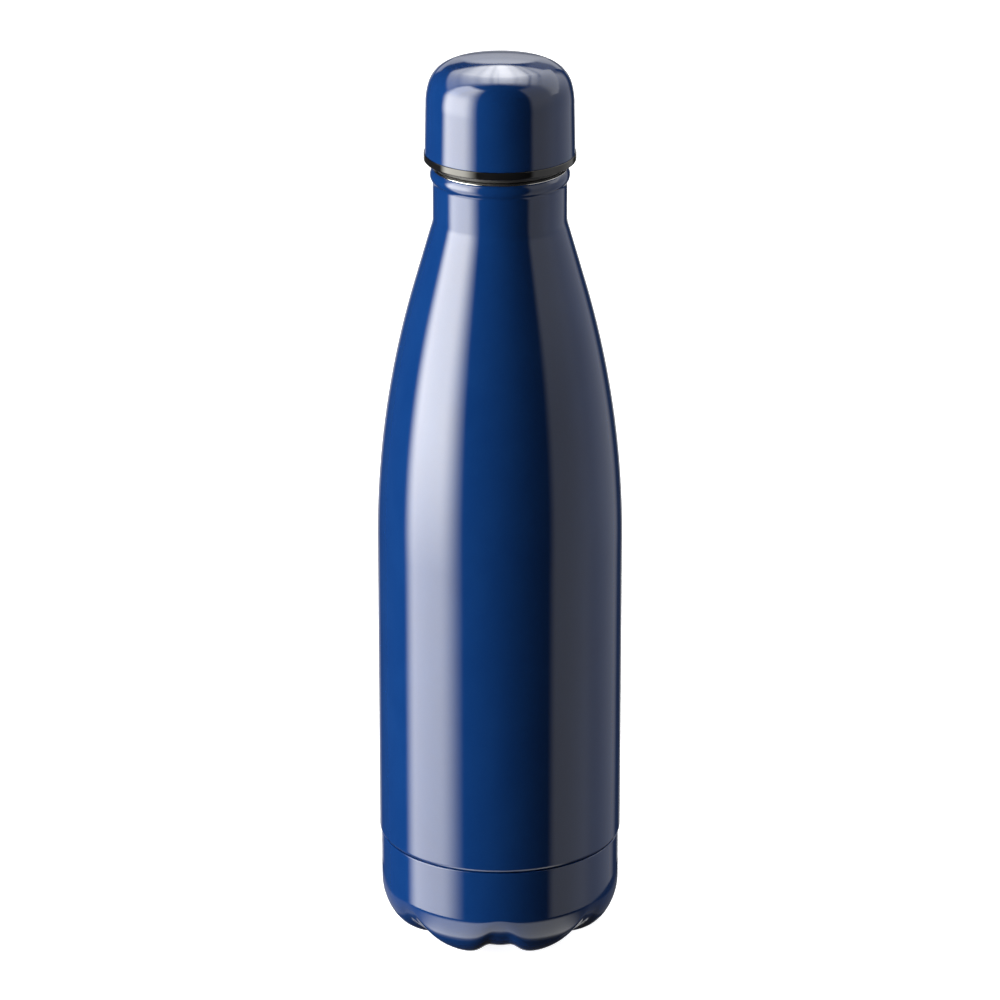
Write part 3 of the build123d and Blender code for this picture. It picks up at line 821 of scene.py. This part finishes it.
def backdrop_level(azimuth, elevation):
    """Paper behind the bottle: a narrow rounded strip, with dimmer patches beside and under it."""
    off_centre = abs(azimuth - 180)
    half_width = 5.2 * math.sqrt(max(0.0, 1 - (max(0.0, elevation - 17) / 8) ** 2))
    strip = ramp(off_centre, half_width + 0.4, half_width - 0.4)
    strip *= ramp(elevation, 25.2, 24.2) * ramp(elevation, 0, 4)
    beside = ramp(elevation, 4, 7) * ramp(elevation, 18, 15) * ramp(off_centre, 25, 20)
    right = ramp(azimuth, 176, 174) * ramp(elevation, 15, 17) * ramp(elevation, 27, 25)
    low = ramp(elevation, 3, -2) * ramp(off_centre, 24, 18)
    lit = 0.5 + 0.75 * ramp(elevation, 0, 16) + 0.9 * ramp(elevation, 14, 24)
    return max(lit * strip, 0.9 * beside, 0.35 * right, 0.45 * low)


SCRIM_APEX = 0.70            # the point, on the map of the sky, from which the scrim's folds fan out
FOLDS = ((-31, 5, 0.8), (-14, 4, 1.4), (-5, 2.5, 2.6), (-1, 1.0, 2.6), (10, 2.5, 1.4), (20, 2.2, 2.4),
         (29.5, 3, 1.4))     # middle and half width in degrees, and how much darker


def overhead(u, v):
    """Place on a stereographic map of the sky: u to the right, v to the back, zenith at 0."""
    square = u * u + v * v
    return CENTRE + Vector((2 * u, 2 * v, 1 - square)) / (1 + square) * SCRIM_RADIUS


def scrim_level(u, v):
    """Folded cloth overhead: brightest along its middle, with darker folds fanning out from its back."""
    angle = math.degrees(math.atan2(u, SCRIM_APEX - v))
    spread = 20 if angle < 2 else 12
    level = 2.2 + 5.4 * math.exp(-((angle - 2) / spread) ** 2 / 2)
    for middle, half_width, drop in FOLDS:
        level -= drop * max(0.0, 1 - abs(angle - middle) / half_width)
    front = ramp(v, -0.02 - 0.25 * abs(u), 0.16)
    back = ramp(v, 0.625, 0.60) * (1 - 0.15 * ramp(v, 0.50, 0.565))
    sides = ramp(angle, -52, -44) * ramp(angle, 64, 58)
    return max(0.2, level) * front * back * sides


def under_scrim(u, v):
    """The scrim, or what stands round the bottle where that is brighter."""
    azimuth = math.degrees(math.atan2(u, -v))
    elevation = 90 - 2 * math.degrees(math.atan(math.hypot(u, v)))
    return max(scrim_level(u, v), softbox_level(azimuth, elevation), card_level(azimuth, elevation),
               backdrop_level(azimuth % 360, elevation))


def room(azimuth, elevation):
    return CENTRE + direction(azimuth, elevation) * ROOM_RADIUS


screen("room", room, lambda azimuth, elevation: ROOM_LEVEL, (-180, 180), (-90, 90), (48, 24))
screen("softbox_left", sky, softbox_level, (-110, -26), (-60, 70), (84, 130), SOFTBOX_TINT)
screen("card_right", sky, card_level, (42, 162), (-60, 68), (60, 64))
screen("backdrop", sky, backdrop_level, (154, 206), (-40, 27), (104, 134))
screen("scrim_overhead", overhead, under_scrim, (-0.7, 0.8), (-0.15, 0.64), (300, 130))


def on_table(r, azimuth):
    return direction(azimuth, 0) * r * MM


def painted_table_light_level(r, azimuth):
    """Painted reflection of the lit table close round the foot: a painted pool of light, brighter on the
    softbox's side, and a painted shadow, dark right under the bottle.
    """
    # painted light: a brighter pool on the softbox's side (left) and dimmer away from the front (front);
    # the ramp on r paints the shadow under the foot
    left = ramp(azimuth, 10, -30)
    front = 1 - 0.92 * ramp(abs(azimuth), 42, 66)
    return (1.7 + 2.2 * left) * front * ramp(r, 33.5, 35.5) * ramp(r, 62, 57)


# painted reflection of a lit table, with a painted shadow under the bottle, seen only in the gloss
screen("painted_table_reflection", on_table, painted_table_light_level, (32, 66), (-180, 180), (17, 120))


def area_light(name, azimuth, elevation, size, power):
    """Soft lamp for the matt part of every finish; the screens above are what the gloss shows."""
    lamp = bpy.data.lights.new(name, "AREA")
    lamp.shape, lamp.size, lamp.size_y = "RECTANGLE", *size
    lamp.energy = power
    light = bpy.data.objects.new(name, lamp)
    light.location = CENTRE + direction(azimuth, elevation) * LIGHT_DISTANCE
    light.rotation_euler = (-direction(azimuth, elevation)).to_track_quat("-Z", "Y").to_euler()
    light.visible_glossy = False
    light.visible_camera = False
    bpy.context.scene.collection.objects.link(light)


LIGHT_DISTANCE = 1.5
area_light("key_left", -69, 8, (0.9, 1.6), 52)
area_light("fill_right", 108, 5, (1.2, 1.6), 14)
area_light("top_soft", 180, 60, (0.5, 0.5), 10)

FLOOR_REACH = 30.0
corners = [(x * FLOOR_REACH, y * FLOOR_REACH, 0) for x, y in ((-1, -1), (1, -1), (1, 1), (-1, 1))]
floor_mesh = bpy.data.meshes.new("floor")
floor_mesh.from_pydata(corners, [], [(0, 1, 2, 3)])
floor = bpy.data.objects.new("floor", floor_mesh)
bpy.context.scene.collection.objects.link(floor)
FLOOR_GLOW = 0.93            # nearly white by itself, so that only a faint shade of the lamps shows
n = Nodes("pale_floor")
shine = n.add("ShaderNodeEmission", {"Color": rgba(1, 1, 1), "Strength": FLOOR_GLOW})
matt = n.add("ShaderNodeBsdfDiffuse", {"Color": rgba(0.8, 0.8, 0.8)})
both = n.add("ShaderNodeAddShader", {0: shine.outputs[0], 1: matt.outputs[0]})
n.tree.links.new(both.outputs[0], n.output.inputs["Surface"])
floor_mesh.materials.append(n.material)
floor.visible_glossy = floor.visible_diffuse = floor.visible_shadow = False

world = bpy.data.worlds.new("studio")
bpy.context.scene.world = world
world.use_nodes = True
world.node_tree.nodes["Background"].inputs["Color"].default_value = rgba(1, 1, 1)
world.node_tree.nodes["Background"].inputs["Strength"].default_value = 1.0
world.cycles_visibility.diffuse = world.cycles_visibility.glossy = False
world.cycles_visibility.transmission = world.cycles_visibility.scatter = False

# ---------------------------------------------------------------- camera
CAMERA_ELEVATION = 20.2
CAMERA_DISTANCE = 1.5
FOCAL_LENGTH = 189.09
SENSOR_WIDTH = 36
TARGET = Vector((0, 0, 0.13367))
camera_data = bpy.data.cameras.new("camera")
camera_data.sensor_width = SENSOR_WIDTH
camera_data.lens = FOCAL_LENGTH
camera_data.clip_start, camera_data.clip_end = 0.05, 100
camera = bpy.data.objects.new("camera", camera_data)
camera.location = TARGET + direction(0, CAMERA_ELEVATION) * CAMERA_DISTANCE
camera.rotation_euler = (TARGET - camera.location).to_track_quat("-Z", "Y").to_euler()
bpy.context.scene.collection.objects.link(camera)
bpy.context.scene.camera = camera
bpy.context.scene.view_settings.view_transform = "Standard"
